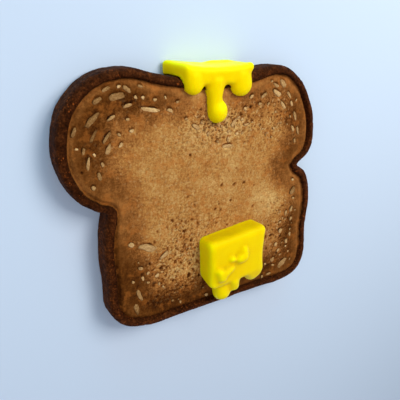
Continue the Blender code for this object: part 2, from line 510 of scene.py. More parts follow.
class Brush:
    """Draws the shared patterns in one material."""

    def __init__(self, bench: Bench, patterns: Patterns) -> None:
        """Reads the place on the piece.

        Args:
            bench: the material's bench.
            patterns: the shared node groups.
        """
        self.bench = bench
        self.patterns = patterns
        self.place = bench.add("TexCoord").outputs["Object"]

    def mottle(self, size: float, detail: float, spread: float,
               place: NodeSocket | None = None) -> NodeSocket:
        """Draws cloudy unevenness.

        Args:
            size: how far apart the clouds are.
            detail: how many finer layers they have.
            spread: how soft they are.
            place: the place to read, where it isn't the piece's own.

        Returns:
            The pattern's socket.
        """
        where = self.place if place is None else place
        inputs = {"Place": where, "Size": size, "Detail": detail, "Spread": spread}
        return self.bench.add("Group", inputs, node_tree=self.patterns.mottle).outputs[0]

    def specks(self, size: float, share: float) -> NodeSocket:
        """Draws specks of a size in a share of their cells."""
        inputs = {"Place": self.place, "Size": size, "Share": share}
        return self.bench.add("Group", inputs, node_tree=self.patterns.specks).outputs[0]

    def strokes(self, size: float, slimness: float, share: float, fill: float) -> NodeSocket:
        """Draws short strokes.

        Args:
            size: how far apart they are.
            slimness: how much longer than wide they are.
            share: the share of cells that have one.
            fill: how much of its cell a stroke fills.

        Returns:
            The pattern's socket.
        """
        inputs = {"Place": self.place, "Size": size, "Slimness": slimness, "Share": share, "Fill": fill}
        return self.bench.add("Group", inputs, node_tree=self.patterns.strokes).outputs[0]

    def mask(self, name: str) -> NodeSocket:
        """Reads one of the piece's own attributes."""
        return self.bench.add("Attribute", attribute_name=name).outputs["Fac"]


def new_finish(name: str, constants: dict[str, float | tuple]) -> tuple[Material, Bench, Node]:
    """Starts a material with a shader and its output.

    Args:
        name: the material's name.
        constants: what the shader's own sockets are set to.

    Returns:
        The material, its bench and its shader.
    """
    material = bpy.data.materials.new(name)
    material.use_nodes = True
    bench = Bench(material.node_tree)
    shader = bench.add("BsdfPrincipled", constants)
    bench.add("OutputMaterial", {"Surface": shader.outputs[0]})
    return material, bench, shader


@dataclass(frozen=True)
class BreadFinish:
    """Toasted bread: mottled crumb, a nearly black line of painted shade at the crust's edge, and dark crust.
    """

    crumb_tones: Tones = (
        (0.0, "#D6AC6C"), (0.14, "#BE9257"), (0.27, "#B07B40"), (0.44, "#965F2E"), (0.60, "#72441D"),
        (0.75, "#5A310F"), (0.90, "#3A1B07"), (1.0, "#1E0D04"))
    crust_tones: Tones = (
        (0.0, "#160602"), (0.3, "#2B1105"), (0.5, "#3C1B09"), (0.72, "#572C12"), (1.0, "#8C4C20"))
    bran: str = "#55290C"
    husk: str = "#CFA872"
    amber: str = "#B4692B"
    ember: str = "#A3501C"
    groove_shade_line: str = "#150602"
    crumb_roughness: float = 0.92
    crust_roughness: float = 0.7
    gloss: float = 0.06
    gloss_tint: str = "#FFC890"
    bump_depth: float = 0.0004

    def make(self, patterns: Patterns) -> Material:
        """Makes the material.

        Args:
            patterns: the shared node groups.

        Returns:
            The material.
        """
        constants = {"Specular IOR Level": self.gloss, "Specular Tint": paint(self.gloss_tint)}
        material, bench, shader = new_finish("toasted_bread_skin", constants)
        brush = Brush(bench, patterns)
        masks = {name: brush.mask(name) for name in ("browning", "hollow_shade", "border", "grainy", "coarse")}
        fine = brush.mottle(0.0009, 3.0, 0.22)
        edge = bench.sway(masks["border"], fine, 0.03)
        rind = bench.rise(edge, -0.070, -0.040, 1.0, 0.0)
        grain = brush.mottle(0.0005, 3.0, 0.25)
        bran = brush.strokes(0.0017, 1.5, 0.55, 0.42)
        husk = brush.strokes(0.0021, 1.9, 0.35, 0.40)
        crumb = self.crumb_color(brush, masks, (fine, grain, bran, husk))
        color = bench.blend(crumb, self.crust_color(brush, masks, fine), rind)
        # A nearly black line of painted shade along the groove where crumb meets crust.
        line = bench.rise(bench.math("ABSOLUTE", bench.math("ADD", edge, 0.06)), 0.01, 0.04, 0.3, 0.0)
        height = bench.math("MULTIPLY_ADD", fine, 0.7, bench.math("MULTIPLY", grain, 0.6))
        for layer, depth in ((bran, -0.7), (husk, 0.5)):
            height = bench.math("MULTIPLY_ADD", bench.math("MULTIPLY", layer, masks["coarse"]), depth, height)
        bump = bench.add("Bump", {"Height": height, "Strength": 0.6, "Distance": self.bump_depth})
        bench.feed(shader, {
            "Base Color": bench.blend(color, self.groove_shade_line, line),
            "Roughness": bench.rise(rind, 0.0, 1.0, self.crumb_roughness, self.crust_roughness),
            "Normal": bump.outputs[0]})
        return material

    def crumb_color(self, brush: Brush, masks: dict[str, NodeSocket], layers: tuple) -> NodeSocket:
        """Colours the crumb by how browned it is.

        Args:
            brush: draws the material's patterns.
            masks: the sockets of the piece's own attributes.
            layers: the sockets of the fine unevenness, the finest grain, the bran and the husks.

        Returns:
            The colour's socket.
        """
        bench, coarse = brush.bench, masks["coarse"]
        fine, grain, bran, husk = layers
        cloud = brush.mottle(0.0035, 4.0, 0.2)
        patch = brush.mottle(0.009, 3.0, 0.16)
        # Painted shade: pores and the crumb at each flake's upper side are darkened, less so where the crumb
        # is already brown.
        shade = bench.rise(masks["browning"], 0.45, 0.85, 0.45, 0.12)
        tone = bench.math("MULTIPLY_ADD", masks["hollow_shade"], shade, masks["browning"])
        open_grain = bench.math("MULTIPLY_ADD", coarse, 0.30, 0.09)
        streak = brush.mottle(0.0010, 3.0, 0.2, bench.vector("MULTIPLY", brush.place, (1.0, 0.3, 1.0)))
        weights = ((cloud, 0.10), (patch, 0.06), (streak, 0.10), (fine, open_grain), (grain, open_grain))
        for layer, weight in weights:
            tone = bench.sway(tone, layer, weight)
        tone = bench.math("MULTIPLY_ADD", brush.strokes(0.0026, 5.0, 0.7, 0.45), -0.03, tone)
        warm = brush.mottle(0.005, 3.0, 0.14)
        color = bench.scale_of(tone, self.crumb_tones)
        color = bench.blend(color, self.amber, bench.rise(warm, 0.5, 1.0, 0.0, 0.30))
        crowd = bench.math("MULTIPLY", bench.rise(patch, 0.2, 0.8, 0.3, 0.8), coarse)
        color = bench.blend(color, self.bran, bench.math("MULTIPLY", bran, crowd))
        # Dark specks stand for small open pores in the coarse areas: painted shade of pits the skin doesn't
        # have.
        pits = bench.math("MULTIPLY", brush.specks(0.0019, 0.5), bench.rise(coarse, 0.45, 1.0, 0.0, 0.75))
        color = bench.blend(color, self.bran, pits)
        fade = bench.math("MULTIPLY", coarse, bench.rise(tone, 0.35, 0.6, 0.6, 0.1))
        return bench.blend(color, self.husk, bench.math("MULTIPLY", husk, fade))

    def crust_color(self, brush: Brush, masks: dict[str, NodeSocket], fine: NodeSocket) -> NodeSocket:
        """Colours the crust: dark, with ember-coloured grains where it is rubbed, and painted shade next to
        the crumb.

        Args:
            brush: draws the material's patterns.
            masks: the sockets of the piece's own attributes.
            fine: the socket of the finest unevenness.

        Returns:
            The colour's socket.
        """
        bench = brush.bench
        cloud = bench.math("MULTIPLY", brush.mottle(0.0035, 5.0, 0.2), 0.36)
        tone = bench.math("MULTIPLY_ADD", fine, 0.52, cloud)
        # Painted light and shade: the crust is darker next to the crumb and lighter towards its outer edge.
        tone = bench.math("ADD", tone, bench.rise(masks["border"], -0.30, -0.05, 0.06, -0.16))
        tone = bench.math("MULTIPLY_ADD", masks["grainy"], 0.07, tone)
        rubbed = bench.rise(brush.mottle(0.010, 3.0, 0.13), 0.6, 1.0, 0.06, 0.6)
        spread = bench.math("MULTIPLY_ADD", masks["grainy"], 0.22, rubbed)
        grains = bench.math("MULTIPLY", brush.specks(0.0008, 0.6), spread)
        return bench.blend(bench.scale_of(tone, self.crust_tones), self.ember, grains)


@dataclass(frozen=True)
class FlakeFinish:
    """Dry oat flake: pale tan with browned edges and faint lengthwise grain."""

    tones: Tones = ((0.0, "#5A381A"), (0.35, "#835D34"), (0.7, "#B58D5C"), (1.0, "#E0BA84"))
    roughness: float = 0.85
    gloss: float = 0.04
    bump_depth: float = 0.00015

    def make(self, patterns: Patterns) -> Material:
        """Makes the material.

        Args:
            patterns: the shared node groups.

        Returns:
            The material.
        """
        constants = {"Roughness": self.roughness, "Specular IOR Level": self.gloss}
        material, bench, shader = new_finish("oat_flake_skin", constants)
        brush = Brush(bench, patterns)
        fine = brush.mottle(0.0007, 3.0, 0.25)
        tone = bench.sway(brush.mask("paleness"), fine, 0.28)
        tone = bench.math("MULTIPLY_ADD", brush.strokes(0.0008, 2.5, 0.5, 0.4), -0.14, tone)
        bump = bench.add("Bump", {"Height": fine, "Strength": 0.4, "Distance": self.bump_depth})
        bench.feed(shader, {"Base Color": bench.scale_of(tone, self.tones), "Normal": bump.outputs[0]})
        return material


@dataclass(frozen=True)
class ButterFinish:
    """Soft butter: smooth, strongly yellow and slightly glossy."""

    # Deep gold serves for painted shade in hollows and pale lemon for painted highlights on ridges and lit
    # sides.
    tones: Tones = (
        (0.0, "#C49A00"), (0.2, "#E2BA00"), (0.4, "#EECB00"), (0.65, "#F6DD00"), (1.0, "#FFF40A"))
    gloss: float = 0.16
    gloss_tint: str = "#FFE83C"
    glow: float = 0.35
    glow_reach: Place = (1.0, 0.75, 0.1)
    glow_depth: float = 0.0025
    bump_depth: float = 0.0001

    def make(self, patterns: Patterns) -> Material:
        """Makes the material.

        Args:
            patterns: the shared node groups.

        Returns:
            The material.
        """
        constants = {
            "Specular IOR Level": self.gloss, "Specular Tint": paint(self.gloss_tint),
            "Subsurface Weight": self.glow, "Subsurface Radius": self.glow_reach,
            "Subsurface Scale": self.glow_depth}
        material, bench, shader = new_finish("butter_skin", constants)
        brush = Brush(bench, patterns)
        cloud = brush.mottle(0.010, 2.0, 0.25)
        fine = brush.mottle(0.0016, 2.0, 0.25)
        # The swell attribute holds painted highlights on ridges, painted shade in hollows and painted light
        # or shade on some sides, besides a random tone.
        tone = bench.sway(brush.mask("swell"), cloud, 0.10)
        tone = bench.sway(tone, fine, 0.05)
        bump = bench.add("Bump", {"Height": fine, "Strength": 0.2, "Distance": self.bump_depth})
        bench.feed(shader, {
            "Base Color": bench.scale_of(tone, self.tones),
            "Roughness": bench.rise(cloud, 0.0, 1.0, 0.34, 0.44),
            "Normal": bump.outputs[0]})
        return material


# --- The slice

@dataclass(frozen=True)
class Spot:
    """A soft-edged oval area of the slice, in millimetres, and how strong its effect is."""

    x: float
    y: float
    across: float
    along: float
    strength: float

    def at(self, points: Numbers) -> Numbers:
        """Works out the area's effect.

        Args:
            points: a row for each point, in metres.

        Returns:
            The effect at each point.
        """
        side = (points[:, 0] / MM - self.x) / self.across
        up = (points[:, 1] / MM - self.y) / self.along
        return self.strength * np.exp(-(side ** 2 + up ** 2))


def spots(*rows: tuple[float, float, float, float, float]) -> tuple[Spot, ...]:
    """Returns the areas with these places, sizes and strengths."""
    return tuple(Spot(*row) for row in rows)


BROWNED = spots(
    # Left lobe
    (-50, 32, 8, 12, 0.18), (-43, 44, 9, 5, 0.14), (-36, 38, 7, 6, 0.12), (-24, 47, 9, 5, -0.02),
    (-42, 28, 9, 9, 0.14), (-36, 45, 8, 4, 0.12), (-8, 44, 7, 6, -0.26), (-43, 3, 6, 9, -0.12),
    # Right lobe
    (30, 45, 10, 5, -0.06), (40, 42, 7, 5, -0.1), (21, 43, 6, 5, -0.04), (48, 26, 4, 10, 0.08),
    (40, 26, 8, 9, 0.03), (44, 35, 4, 6, 0.08), (8, 44, 7, 6, -0.1),
    # Middle
    (2, 36, 15, 9, -0.22), (11, 35, 7, 6, -0.12), (10, 8, 9, 16, -0.05), (40, -7, 12, 10, -0.2),
    (-20, -16, 10, 6, -0.04), (-32, 4, 7, 9, -0.12),
    # Left side and bottom
    (-40, -8, 5, 9, -0.06), (-41, -30, 8, 14, 0.12), (-32, -38, 10, 8, 0.16), (-31, -28, 7, 7, 0.16),
    (-12, -49, 14, 4, 0.16), (8, -51, 12, 4, 0.14), (-27, -46, 8, 5, 0.2), (-12, -30, 9, 8, -0.12),
    # Right side
    (51, -30, 4, 12, 0.1), (46, -34, 10, 12, 0.12), (37, -45, 9, 5, 0.22), (40, -20, 7, 7, 0.06),
)
POROUS = spots(
    (-13, -30, 15, 12, 0.95), (-12, -12, 14, 8, 0.25), (44, -30, 10, 14, 0.35), (12, 6, 14, 12, 0.08),
    (2, 34, 16, 9, 0.16), (30, 34, 10, 10, 0.08), (-19, -41, 11, 6, 0.4),
)
COARSE = spots(
    (2, 34, 17, 11, 0.8), (-13, -28, 16, 13, 0.7), (-8, -10, 18, 12, 0.25), (26, 36, 10, 9, 0.3),
    (44, -26, 12, 20, 0.5), (40, 34, 11, 14, 0.6), (-19, -41, 11, 6, 0.5), (4, -45, 22, 7, 0.45),
    (-34, 44, 12, 7, 0.2), (-45, 30, 10, 12, 0.1), (-42, -34, 7, 18, -0.35),
)
WIDE_RIM = spots((56, 32, 9, 20, 0.0007), (-45, -2, 2.5, 4, 0.0013))


class Border:
    """The line where the crumb meets the crust."""

    def __init__(self, bm: Skin, height: float, step: float) -> None:
        """Finds the line on the solid.

        Args:
            bm: the merged solid.
            height: the height of the groove's bottom, where the line runs.
            step: how close together the line's measuring points are.
        """
        ring = {vert for vert in bm.verts if abs(vert.co.z - height) < MERGE}
        start = here = min(ring, key=lambda vert: vert.index)
        before = None
        corners = []
        while here is not None:
            corners.append(here.co.xy.copy())
            ends = [edge.other_vert(here) for edge in here.link_edges]
            after = next((vert for vert in ends if vert in ring and vert is not before), None)
            before, here = here, after if after is not start else None
        self.corners = np.array(corners)
        places = []
        for start, end in self.sides():
            count = max(1, int(np.hypot(*(end - start)) / step))
            places += [start + (end - start) * index / count for index in range(count)]
        self.tree = flat_tree(places)

    def sides(self) -> zip:
        """Returns the start and end of each straight side of the line."""
        return zip(self.corners, np.roll(self.corners, -1, axis=0))

    def depth(self, points: Numbers) -> Numbers:
        """Measures how far points are inside the crumb.

        Args:
            points: a row for each point.

        Returns:
            The distance to the line, below 0 in the crust.
        """
        inside = np.zeros(len(points), bool)
        x, y = points[:, 0], points[:, 1]
        for (ax, ay), (bx, by) in self.sides():
            crosses = (ay > y) != (by > y)
            if ay != by:
                inside ^= crosses & (x < (bx - ax) * (y - ay) / (by - ay) + ax)
        away = np.array([self.tree.find((px, py, 0.0))[2] for px, py in zip(x, y)])
        return np.where(inside, away, -away)


class FlakeKind(Enum):
    """The kinds of oat piece, each with its fineness and its least thickness in millimetres."""

    FLAKE = (3, 0.5)
    CHIP = (2, 0.36)


LONGEST_CHIP = 2.2


@dataclass(frozen=True)
class Flake:
    """One oat piece: its place, size and turn, in millimetres and degrees."""

    x: float
    y: float
    length: float
    width: float
    turn: float
    paleness: float
    shade: float = 0.6

    @property
    def kind(self) -> FlakeKind:
        """Tells what kind of piece it is from its length."""
        return FlakeKind.CHIP if self.length < LONGEST_CHIP else FlakeKind.FLAKE

    def room(self, x: float, y: float, length: float) -> float:
        """Returns the gap between this piece and another of a length at x, y."""
        return math.hypot(x - self.x, y - self.y) - (length + self.length) / 2

    def local(self, points: Numbers, shift: tuple[float, float], grow: float) -> Numbers:
        """Measures points in the flake's own oval.

        Args:
            points: a row for each point, in metres.
            shift: how far the oval is moved.
            grow: how much wider the oval is all round.

        Returns:
            The share of the oval's radius: 0 at its middle and 1 on its edge.
        """
        angle = math.radians(self.turn)
        side = points[:, 0] / MM - self.x - shift[0]
        up = points[:, 1] / MM - self.y - shift[1]
        along = side * math.cos(angle) + up * math.sin(angle)
        across = up * math.cos(angle) - side * math.sin(angle)
        return np.hypot(along / (self.length / 2 + grow), across / (self.width / 2 + grow))


@dataclass(frozen=True)
class ChipRange:
    """The least and the most that small chips are drawn between, in millimetres and degrees."""

    length: tuple[float, float]
    slimness: tuple[float, float]
    turn: tuple[float, float]
    paleness: tuple[float, float]
    shade: float

    def make(self, pick: np.random.RandomState, x: float, y: float, length: float) -> Flake:
        """Draws one chip.

        Args:
            pick: the source of random numbers.
            x: its place across the slice.
            y: its place along the slice.
            length: its length.

        Returns:
            The chip.
        """
        width = length * pick.uniform(*self.slimness)
        return Flake(x, y, length, width, pick.uniform(*self.turn), pick.uniform(*self.paleness), self.shade)


PLACED_RANGE = ChipRange((1.3, 2.1), (0.55, 0.85), (-80, 30), (0.55, 0.85), 0.7)
STRAY_RANGE = ChipRange((0.9, 1.9), (0.5, 0.85), (0, 180), (0.4, 0.75), 0.4)
# Rows of x, y, length, width, turn, paleness and, where it is deep, shade: how dark the painted shade at its
# upper side is
PLACED_FLAKES = tuple(Flake(*row) for row in (
    # Left lobe
    (-42, 46, 6, 2.8, 10, 0.46), (-38, 48.5, 3.8, 1.7, -35, 0.5), (-46, 48.8, 3.2, 1.3, 25, 0.5),
    (-49.5, 45, 3.8, 1.8, 30, 0.42), (-51.5, 38.5, 7.2, 2, 42, 0.36), (-44.5, 38.5, 3.8, 1.1, 30, 0.6, 1.1),
    (-38, 42.5, 3.8, 1.3, 15, 0.58, 1.1), (-29, 40.5, 8, 1.6, -11, 0.85, 1.1),
    (-20, 39.5, 2.6, 1.4, -18, 0.74), (-51.5, 32.5, 5.2, 1.2, 58, 0.26),
    (-46.5, 31.5, 4.9, 1.3, 50, 0.44, 1.1), (-46, 27, 4.2, 1.6, 66, 0.66), (-41, 28, 2.3, 1.2, 50, 0.78),
    (-36.5, 33, 2, 1.4, 5, 0.85), (-58.5, 34.5, 4, 1.3, 70, 0.42), (-54, 22.5, 5.2, 1.3, 84, 0.66),
    (-55.5, 27.5, 2.6, 1.2, 84, 0.46), (-50, 17, 3.6, 1.5, -78, 0.48), (-52.5, 13, 2.1, 1.7, -55, 0.62),
    (-32.5, 49.2, 2.2, 1, -18, 0.55),
    # Between the lobes
    (-8, 32, 4.4, 1.7, -32, 0.7), (11.5, 32, 4.4, 1.5, 52, 0.72), (18.5, 30.5, 2.8, 1.2, 10, 0.7),
    (8.5, 22, 5.6, 1.7, 4, 0.75, 1.1), (9, 25, 2.6, 1.3, 78, 0.7), (17.5, 37.5, 2.1, 1.7, 20, 0.75),
    (14, 34, 2, 1.2, 25, 0.7), (-1.5, 28.5, 1.8, 1.3, 60, 0.68),
    # Right lobe
    (25, 48, 4, 1.4, 26, 0.66), (38, 47.5, 4.8, 2.3, -46, 0.64), (34, 46.8, 3.4, 1.3, -25, 0.6),
    (35, 43.3, 5.6, 2.1, -28, 0.8), (27.5, 42.5, 3.6, 1.5, 32, 0.6), (20.5, 42.5, 2.4, 1.4, 34, 0.72),
    (39.5, 37.5, 5.2, 1.5, -46, 0.74), (42.5, 42, 3.8, 1.3, -52, 0.66), (44.5, 38, 3, 1.3, -60, 0.78),
    (47.5, 32, 5.2, 1.6, -64, 0.6), (47, 26, 3.6, 1.6, -60, 0.74), (50.5, 24.5, 4.8, 1.3, -67, 0.55),
    (49, 20, 2.4, 1.3, -73, 0.58),
    # Right edge
    (51, -6, 4.4, 3, 48, 0.45), (51.5, -16, 3.2, 1.9, 76, 0.7), (48, -17.5, 2.8, 1.5, 88, 0.62),
    (52, -21.5, 2.2, 2, 70, 0.66), (45.5, -27, 2.5, 2.4, 66, 0.78), (52.5, -30.5, 2.4, 1.5, 96, 0.66),
    (50.3, -34, 2.8, 1.8, 88, 0.72), (43, -34, 2.2, 1.7, 60, 0.78), (45, -38, 2.1, 1.6, 45, 0.72),
    (49, -46.5, 7, 3, 38, 0.55), (40, -50.5, 3.2, 1.2, 2, 0.62), (41.8, -42.5, 2.9, 2.2, 33, 0.55),
    # Left side and corner
    (-38, -14.3, 2.7, 2.1, -36, 0.76), (-30.5, -17.5, 8.2, 3.1, -26, 0.72),
    (-22.5, -23, 4.9, 1.9, 38, 0.74, 1.1), (-34, -26.3, 2.5, 1.6, -20, 0.58),
    (-30.5, -29.5, 1.7, 1.4, 36, 0.72), (-26, -32, 2.3, 1.6, 30, 0.8), (-33, -31.5, 2.3, 1.3, -73, 0.74),
    (-34.8, -39.2, 6, 1.8, -68, 0.56), (-36.2, -46, 6, 2.1, -78, 0.4),
))
PLACED_CHIPS = (
    (-31.5, 45), (-26.5, 44), (-22, 44.5), (-16.5, 42.5), (-38, 37.5), (-41.5, 32), (-51.5, 25.5),
    (-48.5, 21.5), (-50, 8), (-58, 28.5), (-41, 49.5), (31.5, 48.5), (25.5, 39), (44.5, 32), (16, 33),
    (13.5, 27), (3.5, 24.5), (-5, 33.5), (-12.5, 35.5), (50.5, 0), (44.5, -22), (50.5, -37), (47, -41),
    (37, -44), (42.5, -46), (35.5, -51), (-37.5, -32), (0.5, -50.5),
)
# Rows of x, y, reach across, reach along and how many chips are tried there
CHIP_ZONES = (
    (-42, 38, 14, 14, 8), (-2, 34, 14, 7, 12), (12, 27, 10, 8, 8), (38, 35, 12, 14, 10),
    (48, -26, 7, 20, 18), (-33, -26, 8, 14, 6), (-6, -44, 22, 6, 8),
)


@dataclass
class ToastSlice:
    """The slice: crust, groove and crumb in one closed skin."""

    grain: float = 0.00042
    most_faces: int = 192000
    groove_height: float = 0.0093
    crumb_height: float = 0.0102
    wave_height: float = 0.00022
    grit_height: float = 0.00014
    pore_count: int = 3600
    crust_wave: float = 0.00022
    crust_grain: float = 0.00007
    pit_depth: float = 0.0005
    line_depth: float = 0.00025
    line_step: float = 0.0003
    line_width: float = 0.00045
    back_wave: float = 0.00035
    flake_bed: float = 0.0003
    full_pore: float = 0.00035
    pore_clearance: float = 0.003
    stray_pores: float = 0.006
    common_grain: float = 0.36
    border_reach: float = 0.01
    border_wobble: float = 0.0002
    wide_foot: float = 0.0007
    edge_tone: float = 0.62
    tone_drop: float = 0.34
    pale_rim: float = 0.12
    dark_rim: float = 0.14
    cloud_tone: float = 0.07
    pale_halo: float = 0.10
    seed: int = 11
    border: Border | None = None
    pores: tuple[tuple[float, float, float, float, float], ...] = ()

    def measure(self, node: Object) -> Border:
        """Finds the line where the crumb meets the crust.

        Args:
            node: the CAD solid.

        Returns:
            The line.
        """
        bm = merged_copy(node)
        self.border = Border(bm, self.groove_height, self.line_step)
        bm.free()
        return self.border

    def build(self, node: Object, flakes: list[Flake], finish: Material) -> Object:
        """Makes the slice in place of its CAD solid.

        Args:
            node: the CAD solid.
            flakes: the oat pieces that sit in its crumb.
            finish: its material.

        Returns:
            The finished piece.
        """
        piece = new_piece("toasted_slice", merged_copy(node))
        remesh(piece, self.grain, 0)
        self.pores = self.scatter_pores()
        self.weather(piece.data, flakes)
        thin = piece.modifiers.new("thin_out", "DECIMATE")
        thin.ratio = min(1.0, self.most_faces / (2 * len(piece.data.polygons)))
        finish_modifiers(piece)
        self.mark(piece.data, flakes)
        dress(piece, finish)
        return piece

    def wave(self, points: Numbers) -> Numbers:
        """Returns how far the crumb swells or sinks at each point."""
        return self.wave_height * ripple(points * FLAT, 0.014, 2, 1.0)

    def scatter_pores(self) -> tuple[tuple[float, float, float, float, float], ...]:
        """Picks the crumb's open pores, which crowd in the porous areas.

        Returns:
            For each pore its x, y, radius, depth and turn.
        """
        pick = np.random.RandomState(self.seed)
        low, high = self.border.corners.min(axis=0), self.border.corners.max(axis=0)
        places = pick.uniform(low, high, (self.pore_count, 2))
        flat = np.column_stack((places, np.zeros(len(places))))
        crowd = self.stray_pores + sum(zone.at(flat) for zone in POROUS)
        lucky = pick.uniform(0.0, 1.0, len(places)) < crowd
        places = places[lucky & (self.border.depth(flat) > self.pore_clearance)]
        count = len(places)
        radii = np.clip(pick.lognormal(-0.66, 0.32, count), 0.33, 1.0) * MM
        depths = pick.uniform(0.4, 0.8, count) * radii * 0.8
        turns = pick.uniform(0.0, math.pi, count)
        return tuple(zip(places[:, 0], places[:, 1], radii, depths, turns))

    def pore_depth(self, points: Numbers) -> Numbers:
        """Works out how deep the pores are.

        Args:
            points: a row for each point.

        Returns:
            The depth at each point.
        """
        tree = flat_tree(points)
        ragged = 1 + 0.5 * ripple(points * FLAT, 0.0012, 2, 12.0)
        depth = np.zeros(len(points))
        for x, y, radius, deep, turn in self.pores:
            cosine, sine = math.cos(turn), math.sin(turn)
            for place, index, _ in tree.find_range((x, y, 0.0), radius * 1.6):
                side, up = place[0] - x, place[1] - y
                along, across = side * cosine + up * sine, up * cosine - side * sine
                share = math.hypot(along / 1.4, across) / radius * ragged[index]
                if share < 1.0:
                    depth[index] = max(depth[index], deep * (1 - share * share))
        return depth

    def weather(self, mesh: Mesh, flakes: list[Flake]) -> None:
        """Gives the smooth skin its unevenness.

        Args:
            mesh: the slice's fine mesh.
            flakes: the oat pieces that sit in it.
        """
        points, normals = rows_of(mesh, "co"), rows_of(mesh, "normal")
        depth = self.border.depth(points)
        crumb = smooth_step(depth, -0.0001, 0.0009)
        front = crumb * smooth_step(points[:, 2], 0.0055, 0.0085)
        lift = self.wave(points)
        lift += self.grit_height * ripple(points, 0.0016, 3, 2.0)
        lift -= self.pore_depth(points)
        for flake in flakes:
            lift -= self.flake_bed * smooth_step(-flake.local(points, (-0.10, 0.35), 0.45), -1.0, -0.6)
        points[:, 2] += lift * front
        line = np.exp(-(depth / self.line_width) ** 2) * smooth_step(points[:, 2], 0.006, 0.008)
        points[:, 2] -= self.line_depth * line * (1 + 0.6 * ripple(points, 0.004, 2, 3.0))
        crust = 1 - crumb
        swell = self.crust_wave * ripple(points, 0.009, 2, 4.0)
        swell += self.crust_grain * ripple(points, 0.0018, 3, 5.0)
        pits = np.clip(ripple(points, 0.0026, 2, 6.0) - 0.35, 0.0, 1.0) * self.pit_depth
        foot = smooth_step(points[:, 2], 0.0, 0.0012)
        points += normals * ((swell - pits) * crust * foot)[:, None]
        back = crumb * (1 - smooth_step(points[:, 2], 0.0, 0.002))
        points[:, 2] += back * self.back_wave * np.clip(ripple(points * FLAT, 0.003, 3, 7.0), 0.0, 1.0)
        points[:, 2] = np.maximum(points[:, 2], 0.0)
        move_points(mesh, points)

    def mark(self, mesh: Mesh, flakes: list[Flake]) -> None:
        """Stores what the finish reads: border, browning, painted shade in pores and beside flakes, grain and
        coarseness.

        Args:
            mesh: the slice's finished mesh.
            flakes: the oat pieces that sit in it.
        """
        points = rows_of(mesh, "co")
        depth = self.border.depth(points)
        wobble = self.border_wobble * ripple(points, 0.0030, 2, 8.0)
        wider = self.wide_foot * smooth_step(-points[:, 1], 0.036, 0.046)
        wider += sum(place.at(points) for place in WIDE_RIM)
        store(mesh, "border", np.clip((depth + wobble - wider) / self.border_reach, -1.0, 1.0))
        tone = self.browning(points, depth)
        # Painted shade: pores darken with their depth, and each flake gets a dark crescent at its upper side
        # where its socket's wall would shade the crumb.
        hollow_shade = self.pore_depth(points) / self.full_pore
        for flake in flakes:
            around = flake.local(points, (0.0, 0.0), 0.5)
            tone -= self.pale_halo * smooth_step(-around, -1.25, -0.8) * flake.paleness
            shade = smooth_step(-flake.local(points, (-0.15, 0.55), 0.30), -1.15, -0.7)
            hollow_shade = np.maximum(hollow_shade, flake.shade * shade)
        store(mesh, "browning", np.clip(tone, 0.0, 1.0))
        store(mesh, "hollow_shade", np.clip(hollow_shade, 0.0, 1.2))
        grainy = smooth_step(-points[:, 1], -0.004, 0.006) * 0.6
        grainy += smooth_step(points[:, 0], 0.04, 0.062) * 0.4
        store(mesh, "grainy", grainy)
        coarse = self.common_grain + sum(zone.at(points) for zone in COARSE)
        store(mesh, "coarse", np.clip(coarse * smooth_step(depth, 0.001, 0.010), 0.0, 1.1))

    def browning(self, points: Numbers, depth: Numbers) -> Numbers:
        """Works out how browned the crumb is.

        Args:
            points: a row for each point.
            depth: how far inside the crumb each point is.

        Returns:
            Values from about 0, golden, to 1, nearly black.
        """
        inside = np.maximum(depth, 0.0) / MM
        tone = self.edge_tone - self.tone_drop * smooth_step(inside, 6.0, 19.0)
        upper = smooth_step(points[:, 1], 0.0, 0.015) + smooth_step(points[:, 0], 0.035, 0.045)
        upper = np.clip(upper, 0.0, 1.0) * smooth_step(points[:, 1], -0.046, -0.036)
        tone -= self.pale_rim * np.exp(-((inside - 0.9) / 1.3) ** 2) * upper
        tone += self.dark_rim * np.exp(-(inside / 1.3) ** 2) * (1 - upper)
        for spot in BROWNED:
            tone += spot.at(points)
        return tone + self.cloud_tone * ripple(points * FLAT, 0.007, 3, 9.0)


# --- The oat flakes

